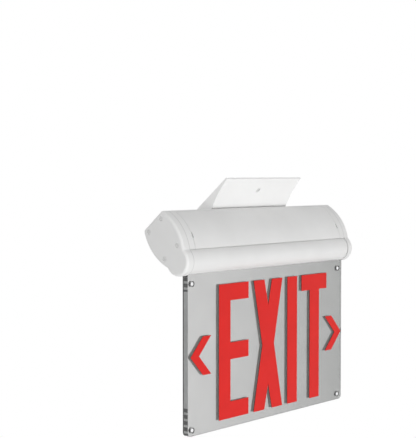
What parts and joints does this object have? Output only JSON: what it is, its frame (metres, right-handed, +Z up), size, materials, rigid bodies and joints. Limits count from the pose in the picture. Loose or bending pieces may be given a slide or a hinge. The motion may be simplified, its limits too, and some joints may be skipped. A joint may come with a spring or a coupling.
{
  "type": "emergency exit light",
  "caption": "Edge-lit emergency exit light: curved housing on a sloped-ceiling canopy, turning barrel with a clear sign panel hanging plumb.",
  "frame": {"origin": "middle of the canopy's ceiling face, on the mounting plate's upper side", "axes": "+X along the sign's width, +Z up, -Y towards the reader; the panel hangs plumb and the ceiling rises towards the reader at 40 degrees"},
  "size_m": [0.3146, 0.104, 0.281],
  "materials": {
    "white_housing": "satin white powder coat on extruded and cast aluminium",
    "white_canopy": "satin white moulded canopy",
    "zinc_steel": "zinc-plated steel",
    "screw_white": "white-painted steel screws",
    "nylon": "natural nylon",
    "cell_wrap": "steel cells in blue shrink sleeve",
    "board_green": "green circuit board",
    "iron_core": "laminated core with taped bobbin",
    "capacitor_black": "black sleeved capacitors",
    "relay_black": "black moulded relay",
    "terminal_green": "green moulded terminal block",
    "button_red": "red moulded button",
    "switch_black": "black moulded switch",
    "lamp_red": "red lens",
    "mill_aluminium": "mill-finish aluminium",
    "spring_steel": "spring steel",
    "led_white": "white light-emitting diodes",
    "clear_acrylic": "clear polished acrylic",
    "silver_film": "silvered acrylic backing",
    "rivet_bright": "bright rivets"
  },
  "bodies": {
    "housing": {"mounting_canopy": "white_canopy", "mounting_plate": "zinc_steel", "canopy_screws": "screw_white", "hub_nipple": "zinc_steel", "hub_locknut": "zinc_steel", "housing_shell": "white_housing", "front_cover": "white_housing", "end_cap_left": "white_housing", "end_cap_right": "white_housing", "end_cap_screws": "screw_white", "pivot_bushing_left": "nylon", "pivot_bushing_right": "nylon", "battery_pack": "cell_wrap", "battery_straps": "zinc_steel", "driver_board": "board_green", "board_standoffs": "nylon", "board_screws": "zinc_steel", "transformer": "iron_core", "capacitors": "capacitor_black", "transfer_relay": "relay_black", "terminal_block": "terminal_green", "test_switch": "switch_black", "status_lamp": "lamp_red"},
    "sign": {"pivot_barrel": "white_housing", "barrel_plug_left": "mill_aluminium", "barrel_plug_right": "mill_aluminium", "friction_washer_left": "spring_steel", "friction_washer_right": "spring_steel", "light_carrier": "mill_aluminium", "led_board": "board_green", "led_emitters": "led_white", "panel_pins": "zinc_steel", "light_panel": "clear_acrylic", "silver_backing": "silver_film", "panel_rivets": "rivet_bright"},
    "button": {"test_button": "button_red"}
  },
  "joints": [
    {"name": "panel_pivot", "type": "hinge", "parent": "housing", "child": "sign", "pos_m": [0, -0.04564, -0.05439], "axis": [1, 0, 0], "range_deg": [-100, 20]},
    {"name": "test_press", "type": "slide", "parent": "housing", "child": "button", "axis": [-1, 0, 0], "range_m": [0, 0.0012], "stiffness_N_per_m": 800, "springref_m": -0.0008}
  ]
}
